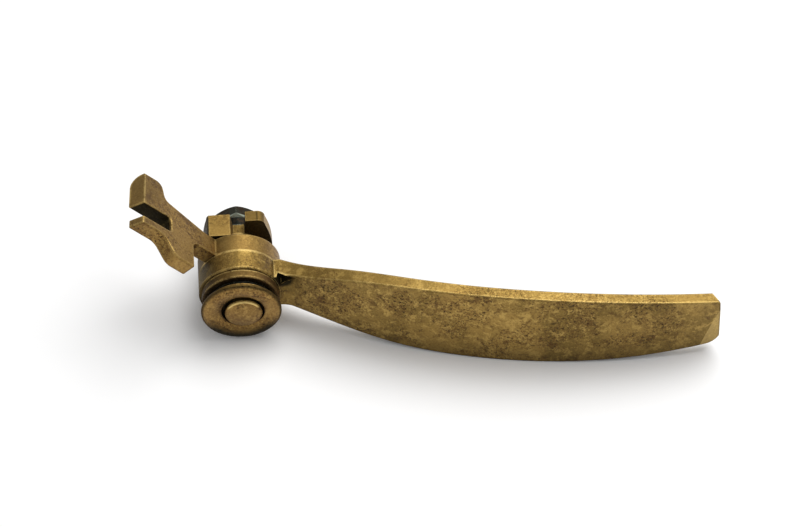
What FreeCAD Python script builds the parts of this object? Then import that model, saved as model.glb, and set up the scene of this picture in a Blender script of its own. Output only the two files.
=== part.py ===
import FreeCAD, Part
import math
import os

from FreeCAD import Vector

# Cockspur window handle: a lever with a two-point nose, turning on a bracket that is screwed to the sash.
# Frame: the pivot axis is the Y axis. The bracket's seat lies in the plane y = 0 and faces +Y, into the
# sash, so the room is on the -Y side. The lever's blade runs along +X when the window is closed. +Z is up.

# Hub, millimetres
HUB_R = 9.4
HUB_EDGE_R = 0.45
BOSS_FRONT_Y = -16.6
BOSS_BACK_Y = -11.4
COLLAR_BACK_Y = -6.4
COLLAR_LAP = 1.0
TENON_AF = 11.0
TENON_R = 7.2
TENON_PLAY = 0.02
RUNNING_PLAY = 0.05

# Pivot bolt with its bush
BOLT_R = 3.0
BOLT_END_Y = 6.4
BOLT_CHAMFER = 0.6
BOLT_HOLE_R = 3.1
HEAD_R = 4.25
HEAD_SEAT_Y = -20.1
HEAD_RIM_Y = -22.1
HEAD_DOME = 0.65
HEAD_EDGE_R = 0.35
HEAD_X = 0.5
HEAD_Z = -0.3
BUSH_R = 4.0

# Front cap, spring washer and thrust ring
CAP_R = 9.1
CAP_INNER_Y = -21.5
CAP_CROWN_R = 7.0
CAP_CROWN_Y = -22.2
CAP_OUTER_Y = -21.6
CAP_BACK_Y = -21.0
CAP_RIM_R = 0.25
SPIGOT_R = 8.0
SPIGOT_Y = -20.0
CAP_BOSS_R = 5.2
CAP_BOSS_Y = -19.0
RECESS_R = 4.9
RECESS_X = 0.35
SPRING_IN_R = 5.4
SPRING_OUT_R = 7.3
SPRING_T = 0.5
RING_R = 8.8
RING_FRONT_Y = -18.8
RING_EDGE_R = 0.4

# Blade: an arched slab, cut to a leaf outline whose points are (x, z). The tip is cut at a slant,
# and a facet takes off the front of its lower corner.
BLADE_ROOT_X = 4.0
BLADE_APEX_X = 85.0
BLADE_FRONT_Y = -34.55
BLADE_APEX_T = 2.8
FRONT_ARCH_R = 160.0
BACK_ARCH_R = 150.0
BLADE_LEAN_DEG = 1.2
BLADE_MID_Z = 1.5
BLADE_TOP = [
    (4.0, 5.2),
    (13.0, 6.0),
    (24.5, 9.4),
    (42.0, 11.6),
    (62.0, 12.0),
    (84.0, 10.6),
    (106.6, 7.1),
]
BLADE_BOTTOM = [
    (4.0, -4.7),
    (11.0, -4.9),
    (17.0, -5.65),
    (33.0, -8.4),
    (50.0, -9.4),
    (68.0, -9.4),
    (90.0, -8.35),
    (99.0, -7.45),
    (107.5, -6.5),
]
TIP_BULGE = 0.3
TIP_TOP_R = 0.8
TIP_BOTTOM_R = 3.6
TIP_RAKE = (107.25, -33.4)
TIP_RAKE_DEG = 31.0
TIP_SLOPE_DEG = 3.0
FACET_TOP = (106.5, -33.05, 5.5)
FACET_BOTTOM = (103.0, -33.7, -6.0)
FACET_CORNER = (107.2, -32.85, -6.6)
BLADE_EDGE_R = 0.3
ROOT_FLAT_Y = -16.5
ROOT_FLAT_X = 12.6
ROOT_FLAT_T = 2.6
ROOT_FLAT_H = 24.0
ROOT_BLEND_R = 6.0
HOLLOW_TIP = (13.2, -17.5, 5.3)
HOLLOW_BASE = (8.6, -16.4, 4.1)
HOLLOW_R = 1.7

# Nose: a flat plate whose middle plane holds the pivot axis
NOSE_ANGLE_DEG = 133.4
NOSE_T = 3.7
NOSE_TIP = 32.2
NOSE_END_RAKE_DEG = 18.0
NOSE_END_LEAN_DEG = 3.5
NOSE_EDGE_R = 0.35
NOSE_EDGE_FROM = 10.4
ARM_ROOT = 7.0
ARM_NEAR_Y = -11.4
ARM_FAR_Y = -6.4
ARM_RISE = 12.0
ARM_RISE_R = 2.0
HEEL_IN = 16.0
HEEL_OUT = 21.5
HEEL_NEAR_Y = -18.6
HEEL_INNER_R = 1.4
HEEL_TIP_R = 0.4
HEEL_OUTER_R = 3.0
FINGER_ROOT = 25.0
FINGER_NEAR_Y = -14.2
FINGER_FAR_Y = -12.0
SLOT_END = 22.8
SLOT_CORNER_R = 0.9
BLOCK_NEAR_Y = -8.2
BLOCK_FAR_Y = 0.9
BLOCK_CORNER_R = 3.1
SHOULDER = 24.3
SHOULDER_Y = -3.5
SHOULDER_R = 2.0
SHOULDER_TOP = 25.3
SHOULDER_TOP_R = 2.2

# Stops: a quadrant of the bracket against a sector of the nose's collar
STOP_IN_R = 5.7
STOP_BLOCK_DEG = (80.0, 185.0)
STOP_TOOTH_DEG = (187.0, 348.0)
STOP_TOOTH_R = 9.1
STOP_GAP = 0.2
STOP_FACE_Y = -3.1

# Bracket: a barrel-sided flange with an open slot at its top and bottom, turned a little on the pivot
BRACKET_TURN_DEG = 1.5
FLANGE_FRONT_Y = -2.9
FLANGE_TOP_Z = 9.3
FLANGE_TOP_X = 6.7
FLANGE_SIDE_X = 7.9
FLANGE_CORNER_R = 1.8
LOW_EAR_Z = 8.7
SLOT_X = 0.5
SLOT_FLOOR_W = 2.6
SLOT_MOUTH_W = 3.6
SLOT_FLOOR_Z = 5.1
SPOT_FACE_R = 5.4
SPOT_FACE_DEPTH = 0.2
SCREW_COUNT = 4
SCREW_CIRCLE_R = 8.05
SCREW_FIRST_DEG = 45.0
SCREW_TAP_R = 1.025
SCREW_DEPTH = 2.3

# Rear thrust washer, flat washer and nut
THRUST_WASHER_R = 5.5
THRUST_WASHER_PLAY = 0.05
WASHER_R = 5.2
WASHER_HOLE_R = 3.2
WASHER_T = 2.4
WASHER_EDGE_R = 0.2
NUT_AF = 10.0
NUT_T = 3.2
NUT_FRONT_R = 4.8
NUT_FRONT_CHAMFER_DEG = 40.0
NUT_BACK_CHAMFER_DEG = 30.0
NUT_BORE_R = 3.03

# FAR reaches past any piece; NEAR is how close two places are taken as the same.
FAR = 200.0
NEAR = 0.01
Y_AXIS = Vector(0, 1, 0)


def tube(outer_r, inner_r, y0, y1):
    """A plain ring about the pivot axis from y0 to y1; an inner radius of 0 gives a disc."""
    ring = Part.makeCylinder(outer_r, y1 - y0, Vector(0, y0, 0), Y_AXIS)
    if inner_r > 0:
        ring = ring.cut(Part.makeCylinder(inner_r, y1 - y0, Vector(0, y0, 0), Y_AXIS))
    return ring


def sector(outer_r, inner_r, y0, y1, start_deg, end_deg):
    """Part of a ring about the pivot axis; the angles go from +X towards +Z."""
    wedge = Part.makeCylinder(outer_r, y1 - y0, Vector(0, 0, 0), Vector(0, 0, 1), end_deg - start_deg)
    wedge.rotate(Vector(0, 0, 0), Vector(0, 0, 1), start_deg)
    wedge.rotate(Vector(0, 0, 0), Vector(1, 0, 0), 90)
    wedge.translate(Vector(0, y1, 0))
    return wedge.cut(tube(inner_r, 0, y0, y1))


def revolve(profile):
    """A solid of revolution about the pivot axis from (radius, y) points."""
    points = [Vector(r, y, 0) for r, y in profile]
    face = Part.Face(Part.makePolygon(points + points[:1]))
    return face.revolve(Vector(0, 0, 0), Y_AXIS, 360)


def rounded_wire(corners, place):
    """A closed wire through (u, v, radius) corners; a corner with a radius is rounded by a tangent arc."""
    edges = []
    ends = []
    for i, (u, v, radius) in enumerate(corners):
        here = place(u, v)
        before = place(*corners[i - 1][:2])
        after = place(*corners[(i + 1) % len(corners)][:2])
        to_before = (before - here).normalize()
        to_after = (after - here).normalize()
        if radius == 0:
            ends.append((here, here))
            continue
        half = to_before.getAngle(to_after) / 2
        reach = radius / math.tan(half)
        middle = (to_before + to_after).normalize() * (radius / math.sin(half) - radius)
        start = here + to_before * reach
        end = here + to_after * reach
        edges.append(Part.Arc(start, here + middle, end).toShape())
        ends.append((start, end))
    for i, (start, end) in enumerate(ends):
        edges.append(Part.makeLine(ends[i - 1][1], start))
    return Part.Wire(Part.__sortEdges__(edges))


def edges_where(shape, test):
    """The edges of a shape whose end points all pass the test."""
    return [e for e in shape.Edges if len(e.Vertexes) == 2 and all(test(v.Point) for v in e.Vertexes)]


def rim_edges(shape, radius, y):
    """The edges of a shape that lie on one circle about the pivot axis."""
    rims = []
    for e in shape.Edges:
        box = e.BoundBox
        flat = abs(box.YMin - y) < NEAR and abs(box.YMax - y) < NEAR
        point = e.valueAt(e.FirstParameter)
        on_radius = abs(math.hypot(point.x, point.z) - radius) < NEAR
        if flat and on_radius and e.Curve.TypeId == "Part::GeomCircle":
            rims.append(e)
    return rims


def arch(front_y, radius):
    """A wide cylinder about a vertical axis, whose foremost line is the blade's most forward line."""
    base = Vector(BLADE_APEX_X, front_y + radius, -FAR / 2)
    return Part.makeCylinder(radius, FAR, base, Vector(0, 0, 1))


def blade_prism():
    """The leaf outline of the blade, drawn out along Y."""
    top = Part.BSplineCurve()
    top.interpolate([Vector(x, 0, z) for x, z in BLADE_TOP])
    bottom = Part.BSplineCurve()
    bottom.interpolate([Vector(x, 0, z) for x, z in BLADE_BOTTOM])
    root = Part.makeLine(top.StartPoint, bottom.StartPoint)
    tip_middle = (top.EndPoint + bottom.EndPoint) / 2 + Vector(TIP_BULGE, 0, 0)
    tip = Part.Arc(top.EndPoint, tip_middle, bottom.EndPoint)
    wire = Part.Wire(Part.__sortEdges__([top.toShape(), tip.toShape(), bottom.toShape(), root]))
    prism = Part.Face(wire).extrude(Vector(0, FAR, 0))
    prism.translate(Vector(0, -FAR / 2, 0))
    corner_x = BLADE_TOP[-1][0] - NEAR
    upper = edges_where(prism, lambda p: p.x > corner_x and p.z > 0)
    prism = prism.makeFillet(TIP_TOP_R, [e for e in upper if e.Length > FAR / 2])
    lower = edges_where(prism, lambda p: p.x > corner_x and p.z < 0)
    return prism.makeFillet(TIP_BOTTOM_R, [e for e in lower if e.Length > FAR / 2])


def tip_facet():
    """A block whose face bevels the front of the blade's lower tip corner."""
    top, bottom, corner = Vector(*FACET_TOP), Vector(*FACET_BOTTOM), Vector(*FACET_CORNER)
    outward = (bottom - top).cross(corner - top).normalize()
    block = Part.makeBox(FAR, FAR, FAR, Vector(-FAR / 2, -FAR / 2, 0))
    block.Placement = FreeCAD.Placement(top, FreeCAD.Rotation(Vector(0, 0, 1), outward)) * block.Placement
    return block


def tip_end():
    """A block whose face cuts the tip off at a slant, so that its front is longer than its back and its
    foot a little longer than its top."""
    block = Part.makeBox(FAR, FAR, FAR, Vector(0, -FAR / 2, -FAR / 2))
    block.rotate(Vector(0, 0, 0), Y_AXIS, -TIP_SLOPE_DEG)
    block.rotate(Vector(0, 0, 0), Vector(0, 0, 1), TIP_RAKE_DEG)
    block.translate(Vector(*TIP_RAKE, 0))
    return block


def blade():
    """The arched slab inside the leaf outline, leaning back a little. Its root is blended into a flat that
    joins the hub, and a tapered hollow is sunk beside the hub."""
    slab = arch(BLADE_FRONT_Y, FRONT_ARCH_R).cut(arch(BLADE_FRONT_Y + BLADE_APEX_T, BACK_ARCH_R))
    slab.rotate(Vector(0, BLADE_FRONT_Y, BLADE_MID_Z), Vector(1, 0, 0), -BLADE_LEAN_DEG)
    corner = Vector(BLADE_ROOT_X, ROOT_FLAT_Y, -ROOT_FLAT_H / 2)
    slab = slab.fuse(Part.makeBox(ROOT_FLAT_X - BLADE_ROOT_X, ROOT_FLAT_T, ROOT_FLAT_H, corner))
    crease = edges_where(slab, lambda p: abs(p.y - ROOT_FLAT_Y) < NEAR and BLADE_ROOT_X < p.x < ROOT_FLAT_X)
    slab = slab.makeFillet(ROOT_BLEND_R, [e for e in crease if e.Length > ROOT_FLAT_H / 2])
    leaf = slab.common(blade_prism())
    front_only = Part.makeBox(FAR, FAR, FAR, Vector(BLADE_ROOT_X, BOSS_BACK_Y - FAR, -FAR / 2))
    leaf = leaf.common(front_only)
    outside_hub = edges_where(leaf, lambda p: p.x > HUB_R)
    leaf = leaf.makeFillet(BLADE_EDGE_R, outside_hub)
    tip, base = Vector(*HOLLOW_TIP), Vector(*HOLLOW_BASE)
    hollow = Part.makeCone(0, HOLLOW_R, tip.distanceToPoint(base), tip, base - tip)
    return leaf.cut([tip_facet(), tip_end(), hollow])


def handle_lever():
    """The blade, the front half of the hub, and the square tenon that drives the nose."""
    boss = tube(HUB_R, 0, BOSS_FRONT_Y, BOSS_BACK_Y)
    boss = boss.makeFillet(HUB_EDGE_R, rim_edges(boss, HUB_R, BOSS_FRONT_Y))
    half = TENON_AF / 2
    length = COLLAR_BACK_Y - BOSS_BACK_Y
    tenon = Part.makeBox(TENON_AF, length, TENON_AF, Vector(-half, BOSS_BACK_Y, -half))
    tenon = tenon.common(tube(TENON_R, 0, BOSS_BACK_Y, COLLAR_BACK_Y))
    lever = boss.fuse([blade(), tenon])
    return lever.cut(tube(BUSH_R + RUNNING_PLAY, 0, -FAR, FAR))


def nose_place(u, y):
    """A point of the nose's middle plane, u out from the pivot axis."""
    angle = math.radians(NOSE_ANGLE_DEG)
    return Vector(u * math.cos(angle), y, u * math.sin(angle))


def nose_plate():
    """Arm, heel, finger and block of the nose in one flat plate with a slot between finger and block."""
    blank_end = NOSE_TIP + NOSE_T
    outline = [
        (ARM_ROOT, ARM_NEAR_Y, 0),
        (HEEL_IN, ARM_NEAR_Y, HEEL_INNER_R),
        (HEEL_IN, HEEL_NEAR_Y, HEEL_TIP_R),
        (HEEL_OUT, HEEL_NEAR_Y, HEEL_OUTER_R),
        (FINGER_ROOT, FINGER_NEAR_Y, HEEL_OUTER_R),
        (blank_end, FINGER_NEAR_Y, 0),
        (blank_end, FINGER_FAR_Y, 0),
        (SLOT_END, FINGER_FAR_Y, SLOT_CORNER_R),
        (SLOT_END, BLOCK_NEAR_Y, SLOT_CORNER_R),
        (blank_end, BLOCK_NEAR_Y, 0),
        (blank_end, BLOCK_FAR_Y, 0),
        (SHOULDER_TOP, BLOCK_FAR_Y, SHOULDER_TOP_R),
        (SHOULDER, SHOULDER_Y, SHOULDER_R),
        (ARM_RISE, ARM_FAR_Y, ARM_RISE_R),
        (ARM_ROOT, ARM_FAR_Y, 0),
    ]
    face = Part.Face(rounded_wire(outline, nose_place))
    angle = math.radians(NOSE_ANGLE_DEG)
    upward = Vector(math.sin(angle), 0, -math.cos(angle))
    plate = face.extrude(upward * NOSE_T)
    plate.translate(upward * (-NOSE_T / 2))
    end_block = Part.makeBox(FAR, FAR, FAR, Vector(0, -FAR / 2, -FAR / 2))
    end_block.rotate(Vector(0, 0, 0), Vector(0, 0, 1), NOSE_END_LEAN_DEG)
    end_block.rotate(Vector(0, 0, 0), Y_AXIS, NOSE_END_RAKE_DEG)
    rake_reach = NOSE_T / 2 * math.tan(math.radians(NOSE_END_RAKE_DEG))
    end_block.translate(Vector(NOSE_TIP - rake_reach, BLOCK_NEAR_Y, 0))
    end_block.rotate(Vector(0, 0, 0), Y_AXIS, -NOSE_ANGLE_DEG)
    plate = plate.cut(end_block)
    lower_far = edges_where(plate, lambda p: p.y > BLOCK_FAR_Y - NEAR and p.dot(upward) < 0)
    plate = plate.makeFillet(BLOCK_CORNER_R, lower_far)
    sharp = edges_where(plate, lambda p: p.y < BLOCK_FAR_Y - BLOCK_CORNER_R - NEAR)
    boxes = [(e, e.BoundBox) for e in sharp]
    free_edges = [e for e, box in boxes if box.XMax < -NOSE_EDGE_FROM or box.ZMin > NOSE_EDGE_FROM]
    return plate.makeFillet(NOSE_EDGE_R, free_edges)


def spur_nose():
    """The nose plate on its collar, which is the rear half of the hub, with the stop tooth behind."""
    collar = tube(HUB_R, 0, BOSS_BACK_Y, COLLAR_BACK_Y)
    collar = collar.makeFillet(HUB_EDGE_R, rim_edges(collar, HUB_R, COLLAR_BACK_Y))
    start, end = STOP_TOOTH_DEG
    tooth = sector(STOP_TOOTH_R, STOP_IN_R, COLLAR_BACK_Y - COLLAR_LAP, STOP_FACE_Y, start, end)
    nose = collar.fuse([nose_plate(), tooth])
    half = TENON_AF / 2 + TENON_PLAY
    length = COLLAR_BACK_Y - BOSS_BACK_Y
    socket = Part.makeBox(2 * half, length, 2 * half, Vector(-half, BOSS_BACK_Y, -half))
    return nose.cut(socket.common(tube(TENON_R + TENON_PLAY, 0, BOSS_BACK_Y, COLLAR_BACK_Y)))


def flange_outline(y):
    """The bracket's outline: flat top and bottom, bulged sides, rounded corners."""
    top, wide, side, r = FLANGE_TOP_Z, FLANGE_TOP_X, FLANGE_SIDE_X, FLANGE_CORNER_R
    shoulder = top - r
    corner_x = wide - r
    inset = r * (1 - math.sqrt(0.5))
    edges = []
    for sx in (-1, 1):
        side_mid = Vector(sx * side, y, 0)
        upper = Vector(sx * wide, y, shoulder)
        lower = Vector(sx * wide, y, -shoulder)
        edges.append(Part.Arc(lower, side_mid, upper).toShape())
        for sz in (-1, 1):
            start = Vector(sx * wide, y, sz * shoulder)
            middle = Vector(sx * (wide - inset), y, sz * (top - inset))
            end = Vector(sx * corner_x, y, sz * top)
            edges.append(Part.Arc(start, middle, end).toShape())
    for sz in (-1, 1):
        edges.append(Part.makeLine(Vector(-corner_x, y, sz * top), Vector(corner_x, y, sz * top)))
    outline = Part.Face(Part.Wire(Part.__sortEdges__(edges)))
    outline.rotate(Vector(0, 0, 0), Y_AXIS, -BRACKET_TURN_DEG)
    return outline


def flange_slot(sz):
    """A prism for the slot at the flange's top (sz = 1) or bottom (sz = -1), wider at its mouth."""
    mouth = SLOT_MOUTH_W / 2
    floor = SLOT_FLOOR_W / 2
    corners = [
        Vector(SLOT_X - mouth, 0, sz * FLANGE_TOP_Z),
        Vector(SLOT_X - floor, 0, sz * SLOT_FLOOR_Z),
        Vector(SLOT_X + floor, 0, sz * SLOT_FLOOR_Z),
        Vector(SLOT_X + mouth, 0, sz * FLANGE_TOP_Z),
        Vector(SLOT_X + mouth, 0, sz * FAR),
        Vector(SLOT_X - mouth, 0, sz * FAR),
    ]
    prism = Part.Face(Part.makePolygon(corners + corners[:1])).extrude(Vector(0, -FAR, 0))
    prism.rotate(Vector(0, 0, 0), Y_AXIS, -BRACKET_TURN_DEG)
    return prism


def base_bracket():
    """The flange on the sash, with the stop quadrant in front of it and four tapped holes in its seat.
    The ear on the -X side of the upper slot is filed lower than the other."""
    flange = flange_outline(FLANGE_FRONT_Y).extrude(Vector(0, -FLANGE_FRONT_Y, 0))
    block_front_y = COLLAR_BACK_Y + STOP_GAP
    block = flange_outline(block_front_y).extrude(Vector(0, FLANGE_FRONT_Y - block_front_y, 0))
    start, end = STOP_BLOCK_DEG
    block = block.common(sector(2 * HUB_R, STOP_IN_R, block_front_y, FLANGE_FRONT_Y, start, end))
    bracket = flange.fuse(block).removeSplitter()
    filed_off = Part.makeBox(FAR, FAR, FAR, Vector(SLOT_X - FAR, -FAR / 2, LOW_EAR_Z))
    bracket = bracket.cut(filed_off)
    for sz in (-1, 1):
        bracket = bracket.cut(flange_slot(sz))
    for i in range(SCREW_COUNT):
        hole = Part.makeCylinder(SCREW_TAP_R, SCREW_DEPTH, Vector(SCREW_CIRCLE_R, 0, 0), -Y_AXIS)
        angle = BRACKET_TURN_DEG + SCREW_FIRST_DEG + 360 / SCREW_COUNT * i
        hole.rotate(Vector(0, 0, 0), Y_AXIS, -angle)
        bracket = bracket.cut(hole)
    bracket = bracket.cut(tube(SPOT_FACE_R, 0, -SPOT_FACE_DEPTH, FAR))
    return bracket.cut(tube(BOLT_HOLE_R, 0, -FAR, FAR))


def front_cap():
    """A disc with a swelling front and a boss that bears on the bush. The recess for the bolt's head is a
    little off centre."""
    inner = Vector(RECESS_R, CAP_INNER_Y, 0)
    outer = Vector(CAP_R, CAP_OUTER_Y, 0)
    swell = Part.Arc(inner, Vector(CAP_CROWN_R, CAP_CROWN_Y, 0), outer).toShape()
    section = [
        (CAP_R, CAP_OUTER_Y),
        (CAP_R, CAP_BACK_Y),
        (SPIGOT_R, CAP_BACK_Y),
        (SPIGOT_R, SPIGOT_Y),
        (CAP_BOSS_R, SPIGOT_Y),
        (CAP_BOSS_R, CAP_BOSS_Y),
        (BOLT_HOLE_R, CAP_BOSS_Y),
        (BOLT_HOLE_R, CAP_INNER_Y),
        (RECESS_R, CAP_INNER_Y),
    ]
    wire = Part.Wire([swell, *Part.makePolygon([Vector(r, y, 0) for r, y in section]).Edges])
    cap = Part.Face(wire).revolve(Vector(0, 0, 0), Y_AXIS, 360)
    cap = cap.cut(Part.makeCylinder(RECESS_R, FAR, Vector(RECESS_X, HEAD_SEAT_Y, 0), -Y_AXIS))
    return cap.makeFillet(CAP_RIM_R, rim_edges(cap, CAP_R, CAP_OUTER_Y) + rim_edges(cap, CAP_R, CAP_BACK_Y))


def pivot_bolt():
    """A bolt with a low domed head set a little off its shank; its threaded end stands out of the nut."""
    dome_r = HEAD_R ** 2 / (2 * HEAD_DOME) + HEAD_DOME / 2
    dome_y = HEAD_RIM_Y - HEAD_DOME
    head = tube(HEAD_R, 0, dome_y, HEAD_SEAT_Y)
    head = head.common(Part.makeSphere(dome_r, Vector(0, dome_y + dome_r, 0)))
    head = head.makeFillet(HEAD_EDGE_R, rim_edges(head, HEAD_R, HEAD_RIM_Y))
    head.translate(Vector(HEAD_X, 0, HEAD_Z))
    shank = tube(BOLT_R, 0, HEAD_SEAT_Y, BOLT_END_Y)
    shank = shank.makeChamfer(BOLT_CHAMFER, rim_edges(shank, BOLT_R, BOLT_END_Y))
    return head.fuse(shank)


def pivot_bush():
    """The sleeve that the lever turns on; the bolt clamps it between the cap and the bracket."""
    return tube(BUSH_R, BOLT_HOLE_R, CAP_BOSS_Y, FLANGE_FRONT_Y)


def spring_washer():
    """A conical spring that presses the thrust ring against the lever."""
    return revolve([
        (SPRING_IN_R, SPIGOT_Y),
        (SPRING_IN_R, SPIGOT_Y + SPRING_T),
        (SPRING_OUT_R, RING_FRONT_Y),
        (SPRING_OUT_R, RING_FRONT_Y - SPRING_T),
    ])


def thrust_ring():
    """The ring that the lever's boss rubs on."""
    ring = tube(RING_R, BUSH_R + RUNNING_PLAY, RING_FRONT_Y, BOSS_FRONT_Y - THRUST_WASHER_PLAY)
    return ring.makeFillet(RING_EDGE_R, rim_edges(ring, RING_R, RING_FRONT_Y))


def rear_thrust_washer():
    """The washer that keeps the nose's collar off the bracket."""
    return tube(THRUST_WASHER_R, BUSH_R + RUNNING_PLAY, COLLAR_BACK_Y + THRUST_WASHER_PLAY, FLANGE_FRONT_Y)


def flat_washer():
    """A washer between the bracket's spot face and the nut."""
    washer = tube(WASHER_R, WASHER_HOLE_R, -SPOT_FACE_DEPTH, WASHER_T - SPOT_FACE_DEPTH)
    return washer.makeFillet(WASHER_EDGE_R, rim_edges(washer, WASHER_R, WASHER_T - SPOT_FACE_DEPTH))


def hex_nut():
    """A thin hexagon nut with a corner up, chamfered more deeply at the front than at the back."""
    y0 = WASHER_T - SPOT_FACE_DEPTH
    y1 = y0 + NUT_T
    corner_r = NUT_AF / math.sqrt(3)
    back_r = NUT_AF / 2
    angles = [math.radians(90 + 60 * i) for i in range(6)]
    corners = [Vector(corner_r * math.cos(t), y0, corner_r * math.sin(t)) for t in angles]
    blank = Part.Face(Part.makePolygon(corners + corners[:1])).extrude(Vector(0, NUT_T, 0))
    front_rise = (corner_r - NUT_FRONT_R) * math.tan(math.radians(NUT_FRONT_CHAMFER_DEG))
    back_rise = (corner_r - back_r) * math.tan(math.radians(NUT_BACK_CHAMFER_DEG))
    chamfer = revolve([
        (0, y0),
        (NUT_FRONT_R, y0),
        (corner_r, y0 + front_rise),
        (corner_r, y1 - back_rise),
        (back_r, y1),
        (0, y1),
    ])
    return blank.common(chamfer).cut(tube(NUT_BORE_R, 0, y0, y1))


NODES = {
    "handle_lever": handle_lever,
    "spur_nose": spur_nose,
    "base_bracket": base_bracket,
    "front_cap": front_cap,
    "pivot_bolt": pivot_bolt,
    "pivot_bush": pivot_bush,
    "spring_washer": spring_washer,
    "thrust_ring": thrust_ring,
    "rear_thrust_washer": rear_thrust_washer,
    "flat_washer": flat_washer,
    "hex_nut": hex_nut,
}

os.makedirs("parts", exist_ok=True)
for node, make in NODES.items():
    (solid,) = make().Solids
    print(node, "valid", solid.isValid(), "mm3", round(solid.Volume, 1))
    solid.exportStep(f"parts/{node}.step")
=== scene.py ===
import math

import bpy
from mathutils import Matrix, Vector


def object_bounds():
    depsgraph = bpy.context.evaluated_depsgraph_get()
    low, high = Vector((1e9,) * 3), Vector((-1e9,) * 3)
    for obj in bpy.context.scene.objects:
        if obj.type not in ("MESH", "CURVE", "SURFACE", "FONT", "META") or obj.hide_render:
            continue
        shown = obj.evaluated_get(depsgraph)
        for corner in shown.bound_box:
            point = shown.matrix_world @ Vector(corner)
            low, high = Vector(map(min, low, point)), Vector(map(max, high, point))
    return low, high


# Looks for the cockspur window handle. Lengths are in metres, and textures work in millimetres.
MM = 0.001

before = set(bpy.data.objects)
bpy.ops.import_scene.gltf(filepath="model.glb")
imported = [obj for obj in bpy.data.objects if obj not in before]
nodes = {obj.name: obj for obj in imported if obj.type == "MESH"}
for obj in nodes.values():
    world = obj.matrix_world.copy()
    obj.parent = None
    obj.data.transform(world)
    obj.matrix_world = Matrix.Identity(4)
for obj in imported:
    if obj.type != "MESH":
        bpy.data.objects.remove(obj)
cad_low, cad_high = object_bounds()

# Places on the handle, in millimetres
SLOT_FRONT_Y = -12.1
SLOT_BACK_Y = -8.1
SLOT_OPEN_X = -14.5
COLLAR_RIM_R = 9.5
HOLLOW_X, HOLLOW_Z = 9.6, 4.2
HEAD_X, HEAD_Z = 0.5, -0.3
HEAD_FRONT_Y = -21.5
EAR_LINE_X = 4.7
NUT_CHAMFER_Y = 3.0
NUT_CHAMFER_R = 4.8

# The Mix node's colour sockets go by number, as its other types have sockets of the same names
MIX_SHARE, MIX_BASE, MIX_OVER, MIX_RESULT = 0, 6, 7, 2

AO_SAMPLES = 8
BEVEL_SAMPLES = 6

# The studio
FLOOR_SIZE = 4.0
FLOOR_X = 0.04
FLOOR_WHITE = (0.94, 0.94, 0.94, 1)
SKY_WHITE = (1, 1, 1, 1)
SKY_STRENGTH = 0.53
KEY_PLACE = (0.24, 0.18, 0.6)
KEY_AIM = (0.04, -0.015, 0.0)
KEY_SIZE = (0.6, 0.5)
KEY_WATTS = 4.0

# The photo's point of view
LENS_MM = 125
SENSOR_MM = 36
LOOK_DOWN_DEG = 50
LOOK_RIGHT_DEG = 4.4
LOOK_AT_MM = (37.3, -2.4, -9.4)
CAMERA_DISTANCE = 0.647


def srgb(red, green, blue):
    """An 8-bit display colour as the linear colour that a shader takes."""
    linear = []
    for value in (red, green, blue):
        v = value / 255
        linear.append(v / 12.92 if v <= 0.04045 else ((v + 0.055) / 1.055) ** 2.4)
    return (*linear, 1.0)


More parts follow.
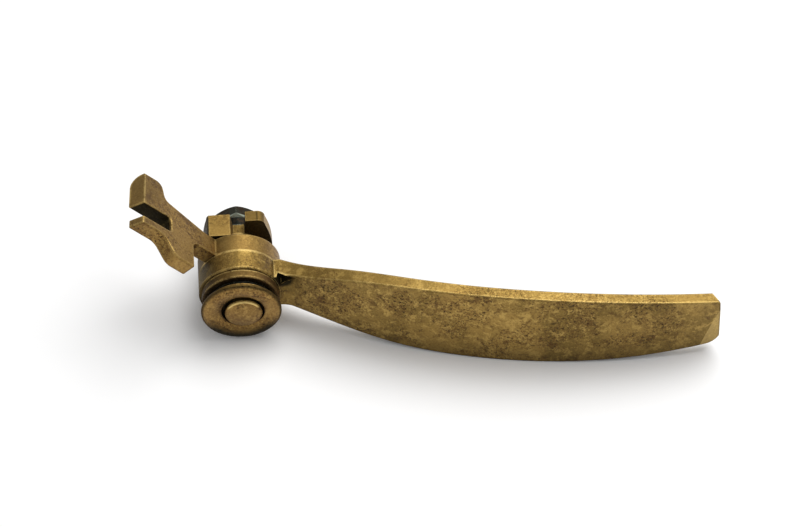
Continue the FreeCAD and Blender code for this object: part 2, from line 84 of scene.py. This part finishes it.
class Graph:
    """A material's node tree, with one short call for each kind of node."""

    def __init__(self, name):
        self.material = bpy.data.materials.new(name)
        self.material.use_nodes = True
        self.tree = self.material.node_tree
        self.tree.nodes.clear()
        self.shader = self.add("ShaderNodeBsdfPrincipled")
        output = self.add("ShaderNodeOutputMaterial")
        self.link(self.shader.outputs["BSDF"], output.inputs["Surface"])
        scale = self.add("ShaderNodeVectorMath")
        scale.operation = "SCALE"
        scale.inputs["Scale"].default_value = 1 / MM
        self.link(self.add("ShaderNodeTexCoord").outputs["Object"], scale.inputs[0])
        self.mm = scale.outputs["Vector"]

    def add(self, kind):
        return self.tree.nodes.new(kind)

    def link(self, source, target):
        self.tree.links.new(source, target)

    def feed(self, socket, value):
        """Links a node's output to a socket, or sets the socket to a plain value."""
        if isinstance(value, bpy.types.NodeSocket):
            self.link(value, socket)
        else:
            socket.default_value = value

    def noise(self, size_mm, detail=4.0, rough=0.55, warp=0.0, shift=0.0):
        """Noise whose features are about size_mm wide."""
        where = self.add("ShaderNodeVectorMath")
        where.operation = "ADD"
        self.link(self.mm, where.inputs[0])
        where.inputs[1].default_value = (shift, shift * 0.7, shift * 1.3)
        noise = self.add("ShaderNodeTexNoise")
        noise.inputs["Scale"].default_value = 1 / size_mm
        noise.inputs["Detail"].default_value = detail
        noise.inputs["Roughness"].default_value = rough
        noise.inputs["Distortion"].default_value = warp
        self.link(where.outputs["Vector"], noise.inputs["Vector"])
        return noise.outputs["Fac"]

    def ramp(self, value, low, high, out_low=0.0, out_high=1.0):
        """A smooth step from out_low at low to out_high at high."""
        step = self.add("ShaderNodeMapRange")
        step.interpolation_type = "SMOOTHSTEP"
        self.feed(step.inputs["Value"], value)
        step.inputs["From Min"].default_value = low
        step.inputs["From Max"].default_value = high
        step.inputs["To Min"].default_value = out_low
        step.inputs["To Max"].default_value = out_high
        return step.outputs["Result"]

    def math(self, operation, a, b=0.0):
        """One step of arithmetic."""
        node = self.add("ShaderNodeMath")
        node.operation = operation
        self.feed(node.inputs[0], a)
        self.feed(node.inputs[1], b)
        return node.outputs["Value"]

    def mix(self, share, base, over):
        """base, covered by over where share is 1."""
        node = self.add("ShaderNodeMix")
        node.data_type = "RGBA"
        self.feed(node.inputs[MIX_SHARE], share)
        self.feed(node.inputs[MIX_BASE], base)
        self.feed(node.inputs[MIX_OVER], over)
        return node.outputs[MIX_RESULT]

    def along(self, axis):
        """One of the millimetre coordinates."""
        split = self.add("ShaderNodeSeparateXYZ")
        self.link(self.mm, split.inputs["Vector"])
        return split.outputs[axis]

    def times(self, *values):
        """The product of some values."""
        product = values[0]
        for value in values[1:]:
            product = self.math("MULTIPLY", product, value)
        return product

    def away(self, x, z):
        """The distance in millimetres from a line that runs along Y through x, z."""
        dx = self.math("SUBTRACT", self.along("X"), x)
        dz = self.math("SUBTRACT", self.along("Z"), z)
        return self.math("SQRT", self.math("ADD", self.times(dx, dx), self.times(dz, dz)))

    def facing(self, axis):
        """How far the surface faces along one of its piece's own axes, from -1 to 1."""
        split = self.add("ShaderNodeSeparateXYZ")
        self.link(self.add("ShaderNodeTexCoord").outputs["Normal"], split.inputs["Vector"])
        return split.outputs[axis]

    def crevice(self, reach_mm):
        """1 in the open and 0 deep in a corner, judged over reach_mm."""
        node = self.add("ShaderNodeAmbientOcclusion")
        node.samples = AO_SAMPLES
        node.inputs["Distance"].default_value = reach_mm * MM
        return node.outputs["AO"]

    def edge(self, radius_mm):
        """0 on a flat, rising at an edge that radius_mm would round over."""
        bevel = self.add("ShaderNodeBevel")
        bevel.samples = BEVEL_SAMPLES
        bevel.inputs["Radius"].default_value = radius_mm * MM
        dot = self.add("ShaderNodeVectorMath")
        dot.operation = "DOT_PRODUCT"
        self.link(bevel.outputs["Normal"], dot.inputs[0])
        self.link(self.add("ShaderNodeNewGeometry").outputs["Normal"], dot.inputs[1])
        return self.math("SUBTRACT", 1.0, dot.outputs["Value"])

    def bump(self, height, depth_mm, under=None):
        """The normal of a relief depth_mm deep, laid over another normal if one is given."""
        node = self.add("ShaderNodeBump")
        node.inputs["Distance"].default_value = depth_mm * MM
        self.link(height, node.inputs["Height"])
        if under is not None:
            self.link(under, node.inputs["Normal"])
        return node.outputs["Normal"]

    def finish(self, colour, roughness, normal, metallic):
        """Links the results to the shader, and gives the finished material."""
        self.link(colour, self.shader.inputs["Base Color"])
        self.link(roughness, self.shader.inputs["Roughness"])
        self.link(normal, self.shader.inputs["Normal"])
        self.shader.inputs["Metallic"].default_value = metallic
        return self.material


GOLD = srgb(192, 160, 90)
TAN = srgb(156, 126, 66)
OLIVE = srgb(130, 105, 52)
BROWN = srgb(92, 66, 32)
ROSE = srgb(136, 98, 64)
# Worn metal, used also as a painted highlight
RUBBED_AND_GLINT = srgb(220, 190, 120)
RUST = srgb(84, 52, 26)
# Pits, and the painted shade along edges
PIT_AND_SHADE = srgb(52, 33, 16)
# Dirt with painted shade, for the corners of the brass
GRIME_AND_SHADE = srgb(26, 27, 17)
NUT_GREEN = srgb(56, 56, 46)
# Partly the washer's own dark steel, partly painted shade for the recess it sits in
WASHER_GREEN_AND_SHADE = srgb(16, 19, 14)
STEEL_STAIN = srgb(50, 38, 26)
# Dirt with painted shade, for the corners of the steel
STEEL_GRIME_AND_SHADE = srgb(14, 16, 12)
# Bare steel, used also as a painted highlight
BARE_STEEL_AND_GLINT = srgb(168, 176, 160)


def aged_brass(name, seed, rosy=0.0, worn=0.75, edge_glint=0.7, shade_and_dirt=None, highlight=None):
    """Brass with a clouded brown patina, speckle, rust veins, pits, dirt and painted shade in the corners,
    and worn upper edges with a painted highlight. rosy is the share of a pinker tone, worn how bright the
    blots are, and rub how bright the painted highlight on the upper edges is. soot(g) gives the share of
    painted shade and black dirt, and shine(g) that of a painted highlight."""
    g = Graph(name)
    upward = g.facing("Z")
    rough_side = g.ramp(upward, 0.95, 0.6, 0.35, 1.0)
    clouds = g.noise(14.0, detail=4, rough=0.6, warp=0.3, shift=seed)
    blots = g.noise(2.6, detail=9, rough=0.78, warp=0.25, shift=seed + 11)
    speckle = g.noise(0.45, detail=5, rough=0.7, shift=seed + 23)
    colour = g.mix(g.ramp(clouds, 0.4, 0.6), TAN, OLIVE)
    bright = g.ramp(blots, 0.5, 0.58)
    colour = g.mix(g.times(bright, worn), colour, GOLD)
    dark = g.ramp(g.noise(3.4, detail=9, rough=0.8, warp=0.3, shift=seed + 37), 0.53, 0.6)
    colour = g.mix(g.times(dark, rough_side, 0.75), colour, BROWN)
    colour = g.mix(rosy, colour, ROSE)
    colour = g.mix(g.ramp(speckle, 0.5, 0.68, 0.0, 0.55), colour, BROWN)
    colour = g.mix(g.ramp(speckle, 0.48, 0.32, 0.0, 0.3), colour, GOLD)
    patch = g.ramp(g.noise(9.0, detail=3, shift=seed + 71), 0.45, 0.56)
    veins = g.noise(1.5, detail=6, rough=0.7, shift=seed + 83)
    veins = g.math("ABSOLUTE", g.math("SUBTRACT", veins, 0.5))
    veins = g.times(g.ramp(veins, 0.035, 0.008), patch)
    colour = g.mix(g.times(veins, 0.7), colour, RUST)
    pits = g.ramp(g.noise(0.6, detail=6, rough=0.7, shift=seed + 53), 0.56, 0.62)
    pits = g.times(pits, patch, rough_side)
    colour = g.mix(g.times(pits, 0.85), colour, PIT_AND_SHADE)
    # Painted shade and dirt: darker in corners that the ambient occlusion finds closed in, and where the
    # piece's own mask asks.
    grime_and_shade = g.ramp(g.crevice(2.5), 0.7, 0.3)
    if shade_and_dirt is not None:
        grime_and_shade = g.math("MAXIMUM", grime_and_shade, shade_and_dirt(g))
    colour = g.mix(g.times(grime_and_shade, 0.93), colour, GRIME_AND_SHADE)
    # Painted shade: faces that look up are toned down towards olive.
    colour = g.mix(g.ramp(upward, 0.7, 0.95, 0.0, 0.35), colour, OLIVE)
    near_edge = g.ramp(g.edge(0.7), 0.005, 0.04)
    # Painted highlight, with some wear: upper edges are lightened where the blots allow.
    rub_and_glint = g.times(near_edge, g.ramp(blots, 0.38, 0.5), g.ramp(upward, 0.3, 0.6))
    colour = g.mix(g.times(rub_and_glint, edge_glint), colour, RUBBED_AND_GLINT)
    # Painted shade: a dark line along edges on the sides that do not face up.
    colour = g.mix(g.times(near_edge, g.ramp(upward, 0.3, 0.1), 0.8), colour, PIT_AND_SHADE)
    # Painted highlight, where the piece's own mask asks for it.
    if highlight is not None:
        colour = g.mix(highlight(g), colour, RUBBED_AND_GLINT)
    roughness = g.ramp(blots, 0.3, 0.7, 0.36, 0.5)
    roughness = g.math("ADD", roughness, g.ramp(speckle, 0.3, 0.7, -0.06, 0.06))
    roughness = g.math("ADD", roughness, g.times(grime_and_shade, 0.25))
    relief = g.math("SUBTRACT", g.times(blots, 0.6), g.times(pits, 0.8))
    normal = g.bump(relief, 0.12)
    normal = g.bump(speckle, 0.03, under=normal)
    return g.finish(colour, roughness, normal, 0.95)


def lever_shade_and_dirt(g):
    """Painted shade and dirt in the hollow at the neck, and painted shade on the left of the hub and along
    the blade's foot; the outer half of its front is a little darker."""
    inside = g.times(g.ramp(g.facing("Z"), 0.96, 0.88), g.ramp(g.facing("Y"), 0.5, 0.1))
    hollow = g.times(g.ramp(g.away(HOLLOW_X, HOLLOW_Z), 2.9, 1.8), inside)
    left = g.times(g.ramp(g.along("X"), 1.0, -8.0), 0.75)
    foot = g.times(g.ramp(g.along("Z"), -1.0, -9.0), 0.35)
    tip = g.times(g.ramp(g.along("X"), 55.0, 90.0), g.ramp(g.facing("Y"), -0.5, -0.8), 0.16)
    return g.math("MAXIMUM", g.math("MAXIMUM", hollow, left), g.math("ADD", foot, tip))


def tip_highlight(g):
    """A painted highlight: the facet at the blade's tip is made lighter."""
    return g.times(g.ramp(g.facing("X"), 0.14, 0.17), g.ramp(g.facing("Y"), -0.9, -0.95), 0.3)


def nose_shade_and_dirt(g):
    """Painted shade and dirt on the walls of the slot, painted shade on the left of the collar, and a
    little painted shade on the block's top.
    """
    y = g.along("Y")
    x = g.along("X")
    in_front = g.ramp(y, SLOT_FRONT_Y - 0.1, SLOT_FRONT_Y + 0.08)
    behind = g.ramp(y, SLOT_BACK_Y + 0.1, SLOT_BACK_Y - 0.08)
    slot = g.times(in_front, behind, g.ramp(x, SLOT_OPEN_X, SLOT_OPEN_X - 0.5))
    left = g.times(g.ramp(x, 1.0, -8.0), g.ramp(g.away(0, 0), COLLAR_RIM_R + 0.2, COLLAR_RIM_R), 0.75)
    block = g.times(g.ramp(g.facing("Z"), 0.3, 0.5), g.ramp(x, -15.0, -19.0), 0.2)
    return g.math("MAXIMUM", g.math("MAXIMUM", slot, left), block)


def cap_shade(g):
    """Painted shade: a dark rim, broadest at its foot."""
    foot = g.times(g.ramp(g.away(0, 0), 4.6, 8.2), g.ramp(g.along("Z"), -1.0, -6.0))
    rim = g.times(g.ramp(g.away(0, 0), 8.3, 8.9), 0.75)
    return g.math("MAXIMUM", foot, rim)


def head_highlight(g):
    """A painted highlight along the upper edge of the bolt's head."""
    front = g.ramp(g.along("Y"), HEAD_FRONT_Y, HEAD_FRONT_Y - 0.15)
    rim = g.ramp(g.away(HEAD_X, HEAD_Z), 3.8, 3.9)
    return g.times(rim, g.ramp(g.along("Z"), 1.4, 2.6), front)


def bracket_shade(g):
    """On the upper faces, a darker right ear with a dark line across it, and painted shade dimming the slot
    floor. The faces that look left and the front of the flange carry painted shade, nearly black."""
    x = g.along("X")
    level = g.ramp(g.facing("Z"), 0.4, 0.6)
    right = g.times(g.ramp(x, 1.9, 2.3, 0.12, 0.5), level)
    from_line = g.math("ABSOLUTE", g.math("SUBTRACT", x, EAR_LINE_X))
    line = g.times(g.ramp(from_line, 0.4, 0.15), level, 0.9)
    low = g.times(g.ramp(g.along("Z"), 6.2, 5.5), level, 0.35)
    side = g.times(g.ramp(g.facing("X"), -0.4, -0.7), 0.95)
    front = g.times(g.ramp(g.facing("Y"), -0.6, -0.9), g.ramp(g.along("Y"), -3.6, -3.2), 0.85)
    top = g.math("MAXIMUM", g.math("MAXIMUM", right, line), low)
    return g.math("MAXIMUM", g.math("MAXIMUM", top, side), front)


def ring_shade(g):
    """Painted shade over the ring, darkest on the left."""
    return g.ramp(g.along("X"), 4.0, -8.0, 0.45, 0.8)


def dark_steel(name, seed, tint, rim=0.0):
    """Dull greenish steel with light edges, worn and with a painted glint; rim is the brightness of a
    painted highlight on the nut's front chamfer.
    """
    g = Graph(name)
    stain = g.noise(1.6, detail=7, rough=0.7, warp=0.3, shift=seed)
    grain = g.noise(0.25, detail=4, shift=seed + 5)
    colour = g.mix(g.ramp(stain, 0.42, 0.6), tint, STEEL_STAIN)
    # Painted shade and dirt: darker in corners that the ambient occlusion finds closed in.
    grime_and_shade = g.ramp(g.crevice(1.5), 0.6, 0.25)
    colour = g.mix(grime_and_shade, colour, STEEL_GRIME_AND_SHADE)
    rub_and_glint = g.times(g.ramp(g.edge(0.35), 0.02, 0.25), 0.5)
    # Painted highlight: the nut's front chamfer is lightened towards bare steel, as much as rim asks.
    in_front = g.ramp(g.along("Y"), NUT_CHAMFER_Y + 0.1, NUT_CHAMFER_Y - 0.1)
    chamfer = g.times(in_front, g.ramp(g.away(0, 0), NUT_CHAMFER_R, NUT_CHAMFER_R + 0.15), rim)
    colour = g.mix(g.math("MAXIMUM", rub_and_glint, chamfer), colour, BARE_STEEL_AND_GLINT)
    roughness = g.ramp(stain, 0.3, 0.7, 0.3, 0.5)
    normal = g.bump(grain, 0.03)
    return g.finish(colour, roughness, normal, 0.9)


def paint(node_name, material):
    """Gives a CAD piece its one material."""
    mesh = nodes[node_name].data
    mesh.materials.clear()
    mesh.materials.append(material)


def studio_floor():
    """A matt white board under the object."""
    bpy.ops.mesh.primitive_plane_add(size=FLOOR_SIZE, location=(FLOOR_X, 0, cad_low.z))
    floor = bpy.context.object
    floor.name = "floor"
    board = bpy.data.materials.new("white_board")
    board.use_nodes = True
    shader = board.node_tree.nodes["Principled BSDF"]
    shader.inputs["Base Color"].default_value = FLOOR_WHITE
    shader.inputs["Roughness"].default_value = 0.6
    shader.inputs["Specular IOR Level"].default_value = 0.15
    floor.data.materials.append(board)


def studio_lights():
    """An even white sky, and one soft light above and behind the handle, to its right."""
    scene = bpy.context.scene
    scene.view_settings.view_transform = "Standard"
    world = bpy.data.worlds.new("studio")
    world.use_nodes = True
    sky = world.node_tree.nodes["Background"]
    sky.inputs["Color"].default_value = SKY_WHITE
    sky.inputs["Strength"].default_value = SKY_STRENGTH
    scene.world = world
    data = bpy.data.lights.new("key", "AREA")
    data.shape = "RECTANGLE"
    data.size, data.size_y = KEY_SIZE
    data.energy = KEY_WATTS
    key = bpy.data.objects.new("key", data)
    scene.collection.objects.link(key)
    key.location = KEY_PLACE
    aim = Vector(KEY_AIM) - Vector(KEY_PLACE)
    key.rotation_euler = aim.to_track_quat("-Z", "Y").to_euler()


def photo_camera():
    """A long lens, looking down at 50 degrees from in front, a little to the left of square."""
    data = bpy.data.cameras.new("camera")
    data.lens = LENS_MM
    data.sensor_width = SENSOR_MM
    data.clip_start = 0.01
    data.clip_end = 20
    camera = bpy.data.objects.new("camera", data)
    bpy.context.scene.collection.objects.link(camera)
    down, turn = math.radians(LOOK_DOWN_DEG), math.radians(LOOK_RIGHT_DEG)
    flat = math.cos(down)
    look = Vector((math.sin(turn) * flat, math.cos(turn) * flat, -math.sin(down)))
    target = Vector(LOOK_AT_MM) * MM
    camera.location = target - look * CAMERA_DISTANCE
    camera.rotation_euler = look.to_track_quat("-Z", "Y").to_euler()
    bpy.context.scene.camera = camera


lever_brass = aged_brass("lever_brass", 0.0, shade_and_dirt=lever_shade_and_dirt, highlight=tip_highlight)
nose_brass = aged_brass("nose_brass", 90.0, rosy=0.25, worn=0.35, shade_and_dirt=nose_shade_and_dirt)
cap_brass = aged_brass("cap_brass", 40.0, rosy=0.35, worn=0.6, edge_glint=0.0, shade_and_dirt=cap_shade)
ring_brass = aged_brass("ring_brass", 75.0, rosy=0.6, worn=0.3, shade_and_dirt=ring_shade)
bolt_brass = aged_brass("bolt_brass", 47.0, rosy=0.35, worn=0.7, highlight=head_highlight)
bracket_brass = aged_brass("bracket_brass", 61.0, rosy=0.1, worn=0.1, edge_glint=0.15, shade_and_dirt=bracket_shade)
hub_brass = aged_brass("hub_brass", 66.0, rosy=0.3, worn=0.3)
nut_steel = dark_steel("nut_steel", 3.0, NUT_GREEN, rim=0.8)
washer_steel = dark_steel("washer_steel", 9.0, WASHER_GREEN_AND_SHADE)
LOOKS = {
    "handle_lever": lever_brass,
    "spur_nose": nose_brass,
    "front_cap": cap_brass,
    "pivot_bolt": bolt_brass,
    "base_bracket": bracket_brass,
    "thrust_ring": ring_brass,
    "pivot_bush": hub_brass,
    "rear_thrust_washer": hub_brass,
    "spring_washer": washer_steel,
    "flat_washer": washer_steel,
    "hex_nut": nut_steel,
}
for node_name, look in LOOKS.items():
    paint(node_name, look)

studio_floor()
studio_lights()
photo_camera()
